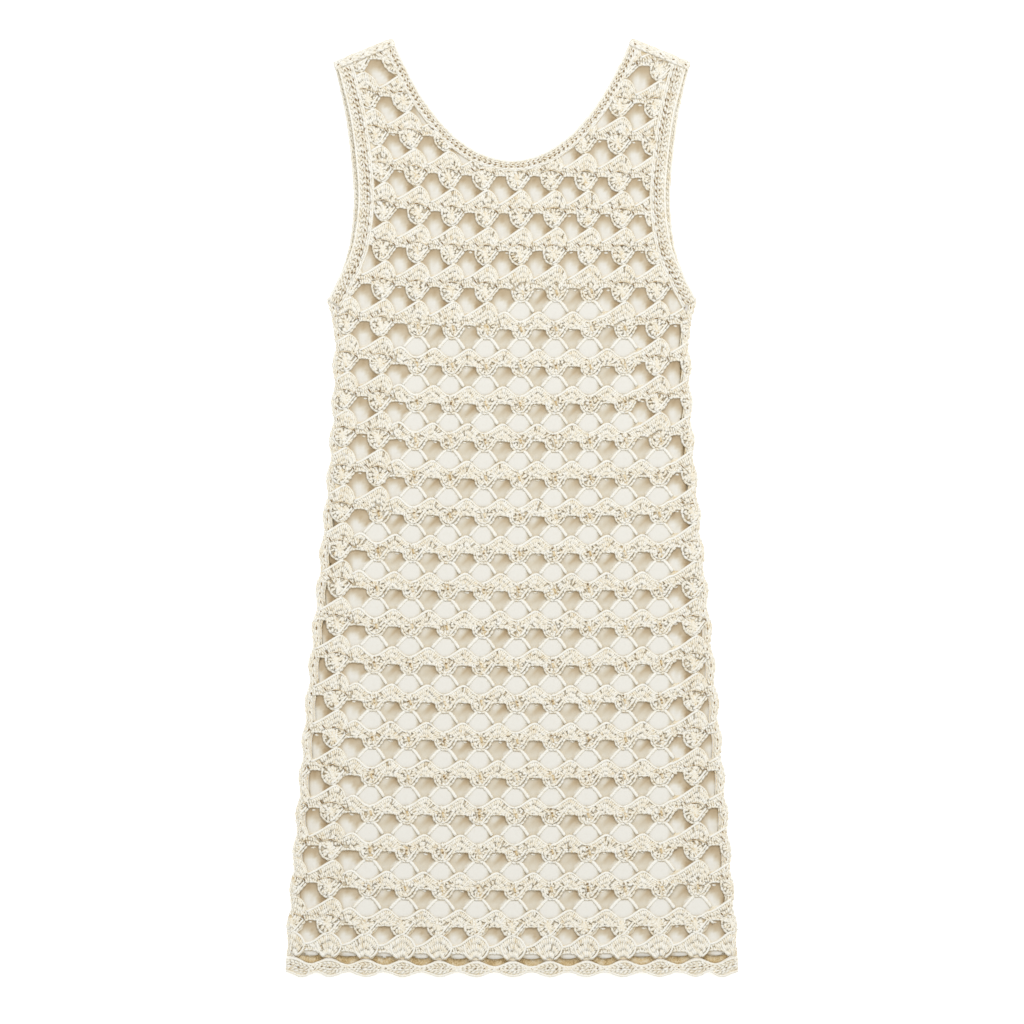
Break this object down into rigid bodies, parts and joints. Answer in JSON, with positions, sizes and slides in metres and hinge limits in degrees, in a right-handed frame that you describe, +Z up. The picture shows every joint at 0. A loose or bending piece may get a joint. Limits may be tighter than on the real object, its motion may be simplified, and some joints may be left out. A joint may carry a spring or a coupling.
{
  "type": "lined crochet mini dress",
  "caption": "Sleeveless crochet mini dress with wide straps, scoop neck and scalloped hem, lined in plain cloth and laid flat on its back.",
  "frame": {"origin": "middle of the dress's box, on the surface that it lies on", "axes": "+Z up out of the front, +Y towards the shoulders, +X to the right of someone looking down at the front"},
  "size_m": [0.4336, 0.9005, 0.0119],
  "materials": {
    "cotton_yarn": "matt crocheted cotton",
    "lining_cloth": "smooth matt lining"
  },
  "bodies": {
    "root": {"front_panel": "cotton_yarn", "back_panel": "cotton_yarn", "lining_front": "lining_cloth", "lining_back": "lining_cloth", "neck_border_front": "cotton_yarn", "neck_border_back": "cotton_yarn", "hem_border_front": "cotton_yarn", "hem_border_back": "cotton_yarn", "arm_border_front_left": "cotton_yarn", "arm_border_front_right": "cotton_yarn", "arm_border_back_left": "cotton_yarn", "arm_border_back_right": "cotton_yarn", "side_seam_left": "cotton_yarn", "side_seam_right": "cotton_yarn", "shoulder_fold_left": "cotton_yarn", "shoulder_fold_right": "cotton_yarn"}
  },
  "joints": []
}
